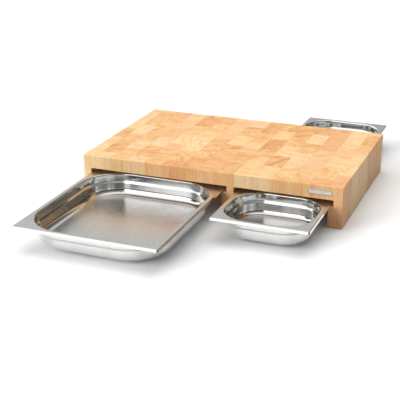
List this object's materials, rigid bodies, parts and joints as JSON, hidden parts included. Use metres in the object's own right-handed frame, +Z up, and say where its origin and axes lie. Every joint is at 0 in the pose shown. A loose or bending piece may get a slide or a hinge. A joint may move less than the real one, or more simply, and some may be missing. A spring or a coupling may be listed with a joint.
{
  "type": "chopping block with drawer trays",
  "caption": "End-grain wooden chopping block on runners, with steel catering trays that slide out on their rims from grooves under the deck at the front and the back.",
  "frame": {"origin": "the middle of the divider's foot, on the table, halfway between the front and the back", "axes": "+X to the right along the front, +Y from the front to the back, +Z up"},
  "size_m": [0.503, 0.7855, 0.077],
  "materials": {
    "end_grain_wood": "oiled",
    "tray_steel": "polished",
    "plate_metal": "satin"
  },
  "bodies": {
    "block": {"deck_row_01": "end_grain_wood", "deck_row_02": "end_grain_wood", "deck_row_03": "end_grain_wood", "deck_row_04": "end_grain_wood", "deck_row_05": "end_grain_wood", "deck_row_06": "end_grain_wood", "deck_row_07": "end_grain_wood", "deck_row_08": "end_grain_wood", "deck_row_09": "end_grain_wood", "deck_row_10": "end_grain_wood", "deck_row_11": "end_grain_wood", "deck_row_12": "end_grain_wood", "divider_row": "end_grain_wood", "left_wall_row": "end_grain_wood", "right_wall_row": "end_grain_wood", "name_plate": "plate_metal"},
    "large_tray": {"large_tray": "tray_steel"},
    "small_tray_front": {"small_tray_front": "tray_steel"},
    "small_tray_rear": {"small_tray_rear": "tray_steel"}
  },
  "joints": [
    {"name": "large_tray_slide", "type": "slide", "parent": "block", "child": "large_tray", "axis": [0, -1, 0], "range_m": [-0.2965, 0.0235]},
    {"name": "small_tray_front_slide", "type": "slide", "parent": "block", "child": "small_tray_front", "axis": [0, -1, 0], "range_m": [-0.1349, 0.0206]},
    {"name": "small_tray_rear_slide", "type": "slide", "parent": "block", "child": "small_tray_rear", "axis": [0, 1, 0], "range_m": [-0.1695, 0.004]}
  ]
}
